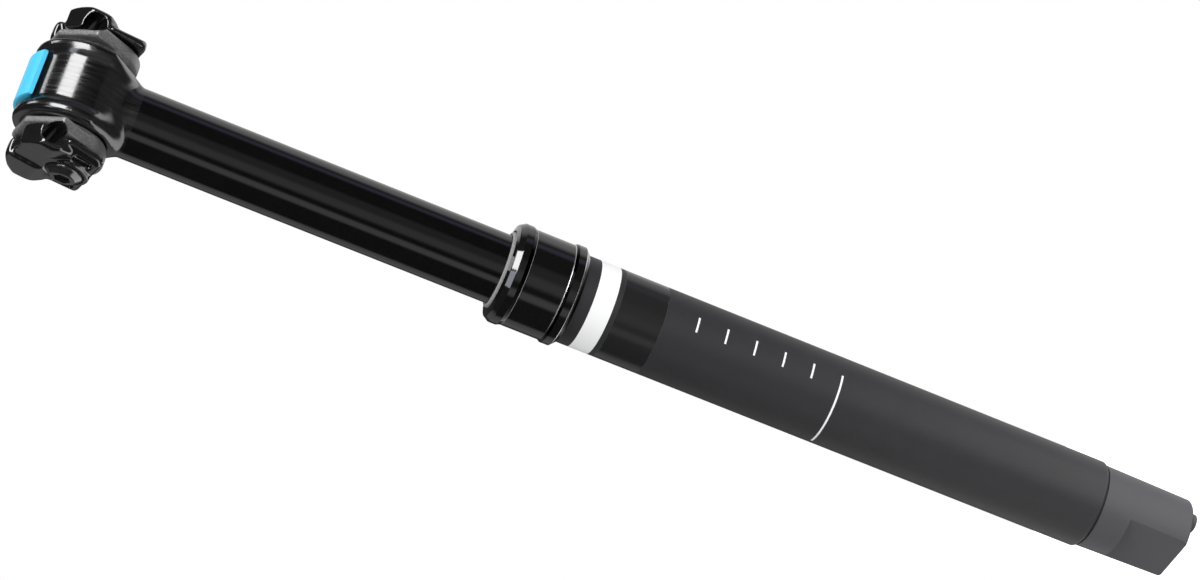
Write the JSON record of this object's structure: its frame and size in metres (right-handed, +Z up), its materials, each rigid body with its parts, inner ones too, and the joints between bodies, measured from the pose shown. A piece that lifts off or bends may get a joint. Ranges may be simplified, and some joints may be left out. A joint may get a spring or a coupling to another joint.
{
  "type": "dropper seatpost",
  "caption": "Cable-released dropper seatpost: a gloss sliding tube with a barrel head and side rail clamps, in a matt outer tube with a collar and a release cap at its foot.",
  "frame": {"origin": "on the post's axis, level with the minimum-insertion line on the outer tube", "axes": "+Z up the post towards the saddle, -Y towards the front of the bicycle, +X along the head's barrel to the sleeve nut's side"},
  "size_m": [0.056, 0.0389, 0.4339],
  "materials": {
    "matt_tube": "satin black anodised, with a white band and white scale marks",
    "gloss_tube": "polished gloss black",
    "gloss_forging": "polished black forging",
    "gloss_collar": "gloss black with bright turned edges",
    "cap_grey": "matt grey",
    "bare_alloy": "bare machined",
    "blue_cover": "bright blue moulding",
    "bushing": "low-friction plastic",
    "foam": "oiled foam",
    "seal_grey": "dark grey rubber",
    "rubber_black": "black rubber",
    "stop_black": "black moulding",
    "steel": "bright steel",
    "bolt_black": "black steel",
    "brass": "bare brass"
  },
  "bodies": {
    "outer_post": {"outer_tube": "matt_tube", "collar": "gloss_collar", "wiper_seal": "seal_grey", "foam_ring": "foam", "top_bushing": "bushing", "bottom_bumper": "rubber_black", "release_cap": "cap_grey", "slot_cover": "cap_grey", "cap_ring": "rubber_black", "cable_stop": "stop_black", "lever_pin": "steel", "piston_rod": "steel", "rod_nut": "steel", "piston": "bare_alloy", "piston_ring": "rubber_black"},
    "inner_post": {"sliding_tube": "gloss_tube", "head": "gloss_forging", "top_cover": "blue_cover", "keys": "brass", "foot_bushing": "bushing", "gas_cylinder": "bare_alloy", "gas_plug": "bare_alloy", "gas_nut": "steel", "rod_guide": "bare_alloy", "rod_seal": "rubber_black", "cylinder_clip": "steel"},
    "gas_piston": {"floating_piston": "bare_alloy", "floating_ring": "rubber_black"},
    "cradle": {"inner_clamp_left": "gloss_forging", "inner_clamp_right": "gloss_forging"},
    "left_jaw": {"outer_clamp_left": "gloss_forging", "clamp_bolt": "bolt_black"},
    "right_jaw": {"outer_clamp_right": "gloss_forging", "sleeve_nut": "bolt_black"},
    "lever": {"release_lever": "steel", "cable_barrel": "brass"},
    "valve_pin": {"release_pin": "steel"}
  },
  "joints": [
    {"name": "post_slide", "type": "slide", "parent": "outer_post", "child": "inner_post", "axis": [0, 0, 1], "range_m": [-0.12, 0], "stiffness_N_per_m": 400, "springref_m": 0.04},
    {"name": "gas_piston_slide", "type": "slide", "parent": "inner_post", "child": "gas_piston", "axis": [0, 0, 1], "range_m": [0, 0.0407]},
    {"name": "saddle_tilt", "type": "hinge", "parent": "inner_post", "child": "cradle", "pos_m": [0, 0, 0.2746], "axis": [1, 0, 0], "range_deg": [-23, 7]},
    {"name": "left_jaw_slide", "type": "slide", "parent": "cradle", "child": "left_jaw", "axis": [-1, 0, 0], "range_m": [0, 0.003]},
    {"name": "right_jaw_slide", "type": "slide", "parent": "cradle", "child": "right_jaw", "axis": [1, 0, 0], "range_m": [0, 0.003]},
    {"name": "lever_swing", "type": "hinge", "parent": "outer_post", "child": "lever", "pos_m": [0.00172, -0.00448, -0.1216], "axis": [0.9336, 0.3584, 0], "range_deg": [0, 22]},
    {"name": "valve_pin_slide", "type": "slide", "parent": "outer_post", "child": "valve_pin", "axis": [0, 0, 1], "range_m": [0, 0.00184], "stiffness_N_per_m": 800}
  ],
  "couplings": [
    {"joint": "gas_piston_slide", "follows": "post_slide", "ratio": -0.33802},
    {"joint": "right_jaw_slide", "follows": "left_jaw_slide", "ratio": 1},
    {"joint": "lever_swing", "follows": "valve_pin_slide", "rad_per_m": 208.33}
  ]
}
